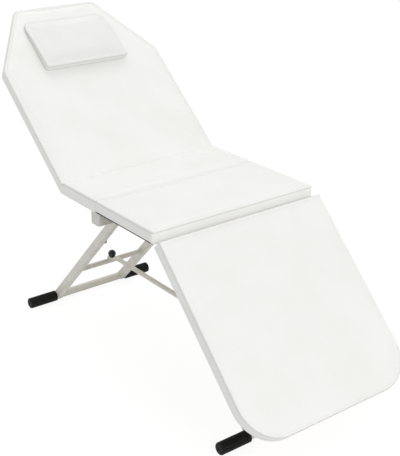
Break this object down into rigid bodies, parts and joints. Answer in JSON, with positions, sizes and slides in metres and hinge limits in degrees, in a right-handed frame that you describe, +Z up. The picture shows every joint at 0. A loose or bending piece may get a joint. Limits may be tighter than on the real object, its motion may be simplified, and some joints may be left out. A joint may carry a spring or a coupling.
{
  "type": "folding massage table",
  "caption": "Folding massage and beauty table: padded seat, tilting backrest with a head pillow and tilting leg rest on a hinged steel A-frame held apart by a stay.",
  "frame": {"origin": "on the floor under the middle of the table's length and width", "axes": "+X towards the foot end, +Y to the far side, +Z up"},
  "size_m": [1.491, 0.6, 1.0372],
  "materials": {
    "upholstery": "white PU leather, fine grain, satin",
    "plywood": "raw plywood board",
    "seat_base": "plywood board with black backing cloth",
    "frame_paint": "warm grey powder coat, satin",
    "rubber": "black ribbed rubber",
    "black_plastic": "black moulded knob",
    "grey_plastic": "grey moulded plug with ribs",
    "zinc_steel": "zinc plated pressed steel",
    "dark_bolt": "dark plated dome-headed bolt"
  },
  "bodies": {
    "front_frame": {"seat_board": "seat_base", "seat_cushion": "upholstery", "centre_hinge_pins": "zinc_steel", "front_hinge_bar": "frame_paint", "front_bar_plugs": "grey_plastic", "front_crossbar": "frame_paint", "front_floor_bar": "frame_paint", "front_rail_screws": "zinc_steel", "front_leg_near": "frame_paint", "front_rail_near": "frame_paint", "front_foot_sleeve_near": "rubber", "front_leg_far": "frame_paint", "front_rail_far": "frame_paint", "front_foot_sleeve_far": "rubber", "centre_hinge_front": "zinc_steel", "leg_rest_hinge_fixed_leaves": "zinc_steel", "leg_rest_hinge_pins": "zinc_steel", "leg_rest_hinge_fixed_screws": "zinc_steel"},
    "rear_frame": {"lumbar_board": "plywood", "lumbar_cushion": "upholstery", "stop_bolts": "dark_bolt", "rear_hinge_bar": "frame_paint", "rear_bar_plugs": "grey_plastic", "rear_crossbar": "frame_paint", "rear_floor_bar": "frame_paint", "rear_rail_screws": "zinc_steel", "rear_leg_near": "frame_paint", "rear_rail_near": "frame_paint", "rear_foot_sleeve_near": "rubber", "rear_leg_far": "frame_paint", "rear_rail_far": "frame_paint", "rear_foot_sleeve_far": "rubber", "centre_hinge_rear": "zinc_steel", "back_hinge_fixed_leaves": "zinc_steel", "back_hinge_pins": "zinc_steel", "back_hinge_fixed_screws": "zinc_steel"},
    "backrest": {"back_board": "plywood", "back_cushion": "upholstery", "pillow": "upholstery", "back_hinge_moving_leaves": "zinc_steel", "back_hinge_moving_screws": "zinc_steel"},
    "leg_rest": {"leg_rest_board": "plywood", "leg_rest_cushion": "upholstery", "leg_rest_hinge_moving_leaves": "zinc_steel", "leg_rest_hinge_moving_screws": "zinc_steel"},
    "stay": {"stay_bar": "frame_paint", "stay_sleeve": "frame_paint"},
    "knob": {"stay_knob": "black_plastic"}
  },
  "joints": [
    {"name": "centre_fold", "type": "hinge", "parent": "front_frame", "child": "rear_frame", "pos_m": [-0.00953, 0, 0.521], "axis": [0, -1, 0], "range_deg": [0, 75]},
    {"name": "back_tilt", "type": "hinge", "parent": "rear_frame", "child": "backrest", "pos_m": [-0.21452, 0, 0.561], "axis": [0, 1, 0], "range_deg": [-40, 20]},
    {"name": "leg_rest_tilt", "type": "hinge", "parent": "front_frame", "child": "leg_rest", "pos_m": [0.29047, 0, 0.561], "axis": [0, -1, 0], "range_deg": [0, 45.5]},
    {"name": "stay_swing", "type": "hinge", "parent": "front_frame", "child": "stay", "pos_m": [0.38859, 0, 0.175], "axis": [0, -1, 0], "range_deg": [0, 38]},
    {"name": "knob_turn", "type": "hinge", "parent": "stay", "child": "knob", "pos_m": [-0.41078, 0, 0.1843], "axis": [0, 0, 1], "continuous": true}
  ],
  "couplings": [
    {"joint": "stay_swing", "follows": "centre_fold", "ratio": 0.505}
  ]
}
